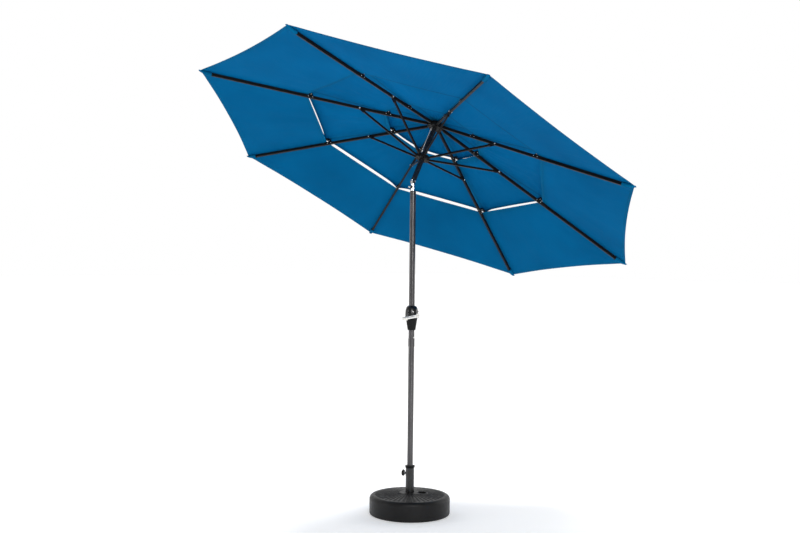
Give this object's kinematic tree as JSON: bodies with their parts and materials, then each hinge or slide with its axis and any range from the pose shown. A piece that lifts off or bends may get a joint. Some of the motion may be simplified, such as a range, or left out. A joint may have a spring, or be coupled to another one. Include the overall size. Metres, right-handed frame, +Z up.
{
  "type": "patio umbrella with base",
  "caption": "Tilting three-tier market umbrella on a round weighted base, with crank lift, push-button tilt, vented canopy and a two-part mast.",
  "frame": {"origin": "centre of the base's underside, on the floor and on the mast's axis", "axes": "+Z up along the mast; the canopy tilts towards +X about an axis along Y; the crank shaft points along -Y"},
  "size_m": [2.6158, 2.9618, 2.9261],
  "materials": {
    "base_plastic": "satin",
    "ballast": "matte",
    "black_steel": "satin",
    "black_plastic": "satin",
    "housing_plastic": "gloss",
    "bright_steel": "satin",
    "gunmetal_steel": "satin",
    "chrome": "polished",
    "grip_plastic": "satin",
    "cord": "matte",
    "rib_steel": "satin",
    "fitting_plastic": "matte",
    "canopy_cloth": "matte"
  },
  "bodies": {
    "base": {"base_shell": "base_plastic", "base_ballast": "ballast", "stem_tube": "black_steel", "stem_collar": "black_plastic", "stem_bush": "black_plastic"},
    "filler_cap": {"filler_cap": "base_plastic"},
    "clamp": {"clamp_screw": "bright_steel", "clamp_knob": "black_plastic"},
    "lower_mast": {"lower_pole": "gunmetal_steel"},
    "middle_mast": {"middle_pole": "gunmetal_steel", "snap_spring": "bright_steel", "crank_dome": "housing_plastic", "crank_cone": "housing_plastic", "housing_screws": "bright_steel", "pole_bush": "black_plastic", "tilt_tube": "chrome", "tilt_pin": "bright_steel", "button_seat": "black_plastic", "cord_in_pole": "cord"},
    "snap_button": {"snap_button": "bright_steel"},
    "crank": {"crank_shaft": "bright_steel", "crank_arm": "bright_steel"},
    "crank_grip": {"crank_grip": "grip_plastic"},
    "tilt_button": {"tilt_button": "bright_steel"},
    "head": {"upper_pole": "black_steel", "hub": "black_plastic", "hub_pins": "bright_steel", "finial": "black_plastic", "cord_in_head": "cord", "cord_run": "cord", "canopy_lower": "canopy_cloth", "canopy_middle": "canopy_cloth", "canopy_top": "canopy_cloth"},
    "pulley": {"pulley": "bright_steel"},
    "runner": {"runner": "black_plastic", "runner_pins": "bright_steel"},
    "rib_1": {"rib_1": "rib_steel", "fittings_1": "fitting_plastic"},
    "strut_1": {"strut_1": "rib_steel"},
    "rib_2": {"rib_2": "rib_steel", "fittings_2": "fitting_plastic"},
    "strut_2": {"strut_2": "rib_steel"},
    "rib_3": {"rib_3": "rib_steel", "fittings_3": "fitting_plastic"},
    "strut_3": {"strut_3": "rib_steel"},
    "rib_4": {"rib_4": "rib_steel", "fittings_4": "fitting_plastic"},
    "strut_4": {"strut_4": "rib_steel"},
    "rib_5": {"rib_5": "rib_steel", "fittings_5": "fitting_plastic"},
    "strut_5": {"strut_5": "rib_steel"},
    "rib_6": {"rib_6": "rib_steel", "fittings_6": "fitting_plastic"},
    "strut_6": {"strut_6": "rib_steel"},
    "rib_7": {"rib_7": "rib_steel", "fittings_7": "fitting_plastic"},
    "strut_7": {"strut_7": "rib_steel"},
    "rib_8": {"rib_8": "rib_steel", "fittings_8": "fitting_plastic"},
    "strut_8": {"strut_8": "rib_steel"}
  },
  "joints": [
    {"name": "cap_lift", "type": "slide", "parent": "base", "child": "filler_cap", "axis": [0, 0, 1], "range_m": [0, 0.03]},
    {"name": "clamp_knob_turn", "type": "hinge", "parent": "base", "child": "clamp", "pos_m": [-0.01434, 0.03734, 0.262], "axis": [-0.3584, 0.9336, 0], "range_deg": [0, 360]},
    {"name": "mast_lift", "type": "slide", "parent": "base", "child": "lower_mast", "axis": [0, 0, 1], "range_m": [0, 0.24]},
    {"name": "mast_part", "type": "slide", "parent": "lower_mast", "child": "middle_mast", "axis": [0, 0, 1], "range_m": [0, 0.035]},
    {"name": "snap_button_press", "type": "slide", "parent": "middle_mast", "child": "snap_button", "axis": [0, 1, 0], "range_m": [0, 0.0042], "stiffness_N_per_m": 700, "deforming": ["snap_spring"]},
    {"name": "crank_turn", "type": "hinge", "parent": "middle_mast", "child": "crank", "pos_m": [0, 0, 1.283], "axis": [0, -1, 0], "range_deg": [-1028.3, 0]},
    {"name": "grip_spin", "type": "hinge", "parent": "crank", "child": "crank_grip", "pos_m": [-0.1273, -0.0748, 1.26962], "axis": [0, -1, 0], "continuous": true},
    {"name": "tilt_hinge", "type": "hinge", "parent": "middle_mast", "child": "head", "pos_m": [0, 0, 2.15], "axis": [0, 1, 0], "range_deg": [-28, 0]},
    {"name": "tilt_button_press", "type": "slide", "parent": "middle_mast", "child": "tilt_button", "axis": [1, 0, 0], "range_m": [0, 0.0035], "stiffness_N_per_m": 900},
    {"name": "rib_1_hinge", "type": "hinge", "parent": "head", "child": "rib_1", "pos_m": [0.23078, 0.00832, 2.5007], "axis": [-0.1836, 0.9781, 0.0976], "range_deg": [0, 9.5], "deforming": ["canopy_lower", "canopy_middle", "canopy_top", "cord_run"]},
    {"name": "rib_2_hinge", "type": "hinge", "parent": "head", "child": "rib_2", "pos_m": [0.21547, 0.03355, 2.50884], "axis": [-0.7405, 0.5446, 0.3937], "range_deg": [0, 9.5]},
    {"name": "rib_3_hinge", "type": "hinge", "parent": "head", "child": "rib_3", "pos_m": [0.1889, 0.03913, 2.52298], "axis": [-0.8637, -0.2079, 0.4592], "range_deg": [0, 9.5]},
    {"name": "rib_4_hinge", "type": "hinge", "parent": "head", "child": "rib_4", "pos_m": [0.16662, 0.02179, 2.53482], "axis": [-0.4809, -0.8387, 0.2557], "range_deg": [0, 9.5]},
    {"name": "rib_5_hinge", "type": "hinge", "parent": "head", "child": "rib_5", "pos_m": [0.16169, -0.00832, 2.53744], "axis": [0.1836, -0.9781, -0.0976], "range_deg": [0, 9.5]},
    {"name": "rib_6_hinge", "type": "hinge", "parent": "head", "child": "rib_6", "pos_m": [0.177, -0.03355, 2.5293], "axis": [0.7405, -0.5446, -0.3937], "range_deg": [0, 9.5]},
    {"name": "rib_7_hinge", "type": "hinge", "parent": "head", "child": "rib_7", "pos_m": [0.20358, -0.03913, 2.51517], "axis": [0.8637, 0.2079, -0.4592], "range_deg": [0, 9.5]},
    {"name": "rib_8_hinge", "type": "hinge", "parent": "head", "child": "rib_8", "pos_m": [0.22586, -0.02179, 2.50332], "axis": [0.4809, 0.8387, -0.2557], "range_deg": [0, 9.5]},
    {"name": "runner_slide", "type": "slide", "parent": "head", "child": "runner", "axis": [-0.4695, 0, -0.8829], "range_m": [0, 0.1405]},
    {"name": "strut_1_hinge", "type": "hinge", "parent": "runner", "child": "strut_1", "pos_m": [0.11372, 0.00749, 2.28887], "axis": [-0.1836, 0.9781, 0.0976], "range_deg": [-8.2, 0]},
    {"name": "strut_2_hinge", "type": "hinge", "parent": "runner", "child": "strut_2", "pos_m": [0.09994, 0.03019, 2.29619], "axis": [-0.7405, 0.5446, 0.3937], "range_deg": [-8.2, 0]},
    {"name": "strut_3_hinge", "type": "hinge", "parent": "runner", "child": "strut_3", "pos_m": [0.07602, 0.03521, 2.30891], "axis": [-0.8637, -0.2079, 0.4592], "range_deg": [-8.2, 0]},
    {"name": "strut_4_hinge", "type": "hinge", "parent": "runner", "child": "strut_4", "pos_m": [0.05597, 0.01961, 2.31957], "axis": [-0.4809, -0.8387, 0.2557], "range_deg": [-8.2, 0]},
    {"name": "strut_5_hinge", "type": "hinge", "parent": "runner", "child": "strut_5", "pos_m": [0.05153, -0.00749, 2.32193], "axis": [0.1836, -0.9781, -0.0976], "range_deg": [-8.2, 0]},
    {"name": "strut_6_hinge", "type": "hinge", "parent": "runner", "child": "strut_6", "pos_m": [0.06531, -0.03019, 2.3146], "axis": [0.7405, -0.5446, -0.3937], "range_deg": [-8.2, 0]},
    {"name": "strut_7_hinge", "type": "hinge", "parent": "runner", "child": "strut_7", "pos_m": [0.08924, -0.03521, 2.30188], "axis": [0.8637, 0.2079, -0.4592], "range_deg": [-8.2, 0]},
    {"name": "strut_8_hinge", "type": "hinge", "parent": "runner", "child": "strut_8", "pos_m": [0.10928, -0.01961, 2.29122], "axis": [0.4809, 0.8387, -0.2557], "range_deg": [-8.2, 0]},
    {"name": "pulley_turn", "type": "hinge", "parent": "head", "child": "pulley", "pos_m": [0.16594, 0, 2.49894], "axis": [0, 1, 0], "range_deg": [-844.3, 0]}
  ],
  "couplings": [
    {"joint": "rib_2_hinge", "follows": "rib_1_hinge", "ratio": 1},
    {"joint": "rib_3_hinge", "follows": "rib_1_hinge", "ratio": 1},
    {"joint": "rib_4_hinge", "follows": "rib_1_hinge", "ratio": 1},
    {"joint": "rib_5_hinge", "follows": "rib_1_hinge", "ratio": 1},
    {"joint": "rib_6_hinge", "follows": "rib_1_hinge", "ratio": 1},
    {"joint": "rib_7_hinge", "follows": "rib_1_hinge", "ratio": 1},
    {"joint": "rib_8_hinge", "follows": "rib_1_hinge", "ratio": 1},
    {"joint": "runner_slide", "follows": "rib_1_hinge", "m_per_rad": 0.84423},
    {"joint": "strut_1_hinge", "follows": "rib_1_hinge", "ratio": -0.86118},
    {"joint": "strut_2_hinge", "follows": "rib_1_hinge", "ratio": -0.86118},
    {"joint": "strut_3_hinge", "follows": "rib_1_hinge", "ratio": -0.86118},
    {"joint": "strut_4_hinge", "follows": "rib_1_hinge", "ratio": -0.86118},
    {"joint": "strut_5_hinge", "follows": "rib_1_hinge", "ratio": -0.86118},
    {"joint": "strut_6_hinge", "follows": "rib_1_hinge", "ratio": -0.86118},
    {"joint": "strut_7_hinge", "follows": "rib_1_hinge", "ratio": -0.86118},
    {"joint": "strut_8_hinge", "follows": "rib_1_hinge", "ratio": -0.86118},
    {"joint": "pulley_turn", "follows": "rib_1_hinge", "ratio": -88.866},
    {"joint": "crank_turn", "follows": "rib_1_hinge", "ratio": -108.23}
  ]
}
